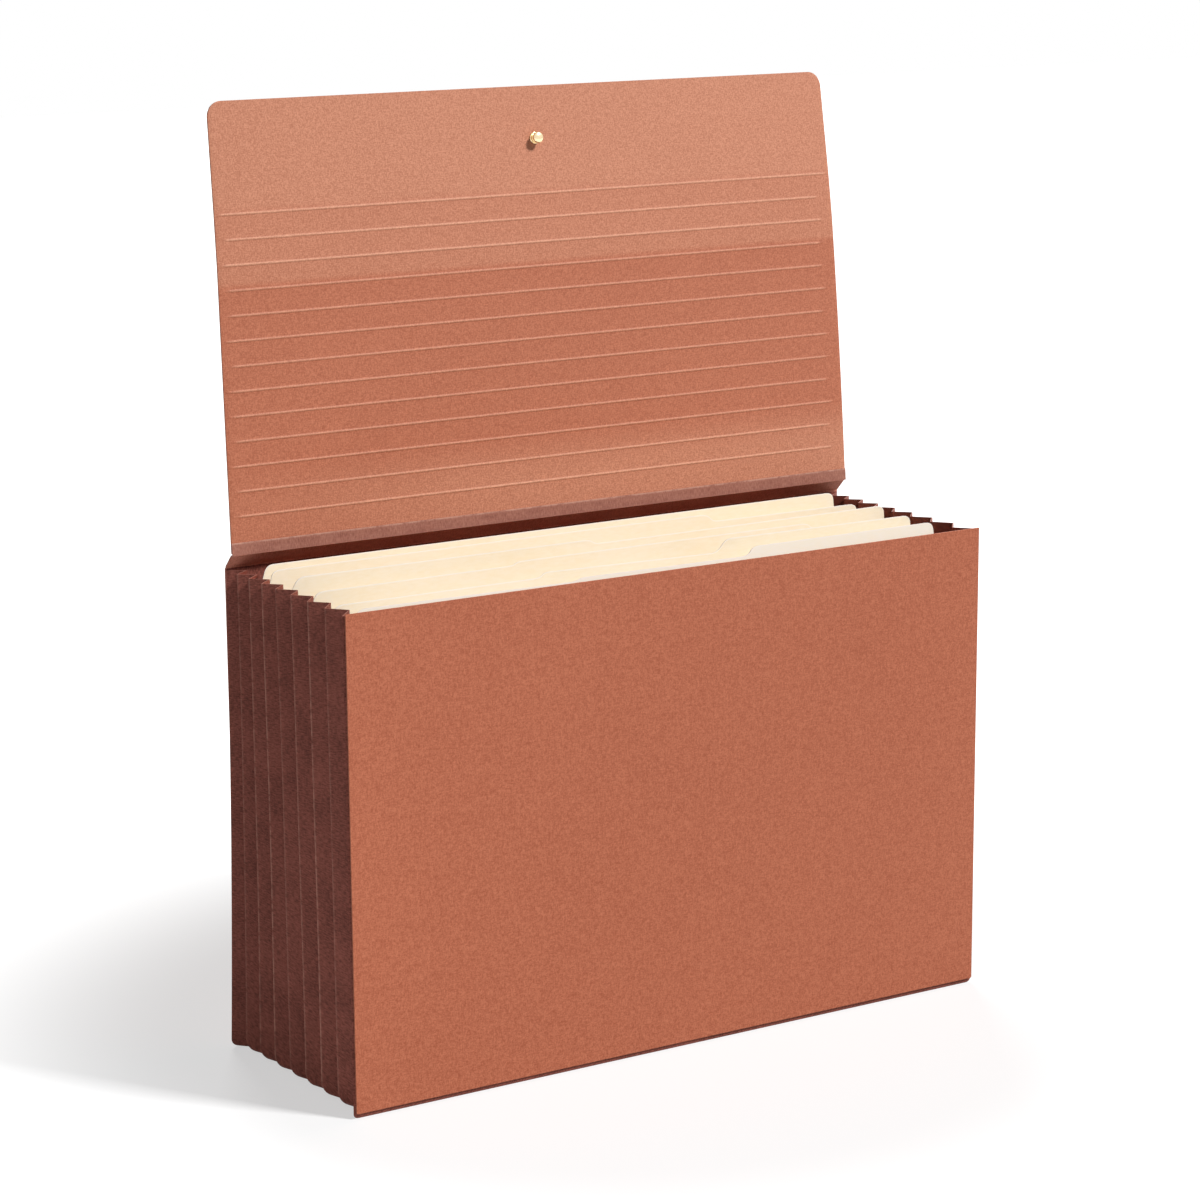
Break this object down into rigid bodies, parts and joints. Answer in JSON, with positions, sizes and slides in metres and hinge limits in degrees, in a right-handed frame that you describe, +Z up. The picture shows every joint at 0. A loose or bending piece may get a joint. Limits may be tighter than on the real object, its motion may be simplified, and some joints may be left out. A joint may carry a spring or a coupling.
{
  "type": "expanding file wallet",
  "caption": "Open-topped expanding file wallet: pressboard front and back, pleated cloth gusset, hinged scored flap with a brass post, and manila folders standing inside.",
  "frame": {"origin": "on the ground, midway across the width and the overall depth", "axes": "+Z up, the front board faces -Y, +X to the right seen from the front"},
  "size_m": [0.381, 0.1396, 0.4876],
  "materials": {
    "pressboard": "red-brown pressboard with a fine fibrous mottle",
    "gusset_cloth": "dark brown coated linen-weave cloth",
    "manila": "smooth manila card",
    "brass": "polished brass"
  },
  "bodies": {
    "back": {"back_panel": "pressboard", "hinge_lining": "gusset_cloth", "hinge_strip": "gusset_cloth", "left_gusset": "gusset_cloth", "right_gusset": "gusset_cloth", "bottom_gusset": "gusset_cloth"},
    "front": {"front_panel": "pressboard"},
    "flap": {"flap_lower": "pressboard", "hinge_tape": "gusset_cloth"},
    "flap_end": {"flap_upper": "pressboard", "closure_post": "brass", "closure_cap": "brass"},
    "rear_folder": {"rear_folder_back": "manila"},
    "rear_leaf": {"rear_folder_front": "manila"},
    "middle_folder": {"middle_folder_back": "manila"},
    "middle_leaf": {"middle_folder_front": "manila"},
    "front_folder": {"front_folder_back": "manila"},
    "front_leaf": {"front_folder_front": "manila"}
  },
  "joints": [
    {"name": "expand", "type": "slide", "parent": "back", "child": "front", "axis": [0, 1, 0], "range_m": [0, 0.095], "deforming": ["left_gusset", "right_gusset", "bottom_gusset"]},
    {"name": "flap_fold", "type": "hinge", "parent": "back", "child": "flap", "pos_m": [0, 0.05202, 0.26218], "axis": [1, 0, 0], "range_deg": [-120, 94.5]},
    {"name": "score_fold", "type": "hinge", "parent": "flap", "child": "flap_end", "pos_m": [0, 0.06249, 0.4067], "axis": [1, 0, 0], "range_deg": [0, 90]},
    {"name": "rear_folder_shift", "type": "slide", "parent": "back", "child": "rear_folder", "axis": [0, 1, 0], "range_m": [0, 0.01781]},
    {"name": "rear_leaf_close", "type": "hinge", "parent": "rear_folder", "child": "rear_leaf", "pos_m": [0, 0.03432, 0.00997], "axis": [1, 0, 0], "range_deg": [-1.2, 0]},
    {"name": "middle_folder_shift", "type": "slide", "parent": "back", "child": "middle_folder", "axis": [0, 1, 0], "range_m": [0, 0.04156]},
    {"name": "middle_leaf_close", "type": "hinge", "parent": "middle_folder", "child": "middle_leaf", "pos_m": [0, 0.00254, 0.00997], "axis": [1, 0, 0], "range_deg": [-2.54, 0]},
    {"name": "front_folder_shift", "type": "slide", "parent": "back", "child": "front_folder", "axis": [0, 1, 0], "range_m": [0, 0.06531]},
    {"name": "front_leaf_close", "type": "hinge", "parent": "front_folder", "child": "front_leaf", "pos_m": [0, -0.02923, 0.00997], "axis": [1, 0, 0], "range_deg": [-2.54, 0]}
  ],
  "couplings": [
    {"joint": "rear_folder_shift", "follows": "expand", "ratio": 0.1875},
    {"joint": "rear_leaf_close", "follows": "expand", "rad_per_m": -0.21971},
    {"joint": "middle_folder_shift", "follows": "expand", "ratio": 0.4375},
    {"joint": "middle_leaf_close", "follows": "expand", "rad_per_m": -0.46689},
    {"joint": "front_folder_shift", "follows": "expand", "ratio": 0.6875},
    {"joint": "front_leaf_close", "follows": "expand", "rad_per_m": -0.46689}
  ]
}
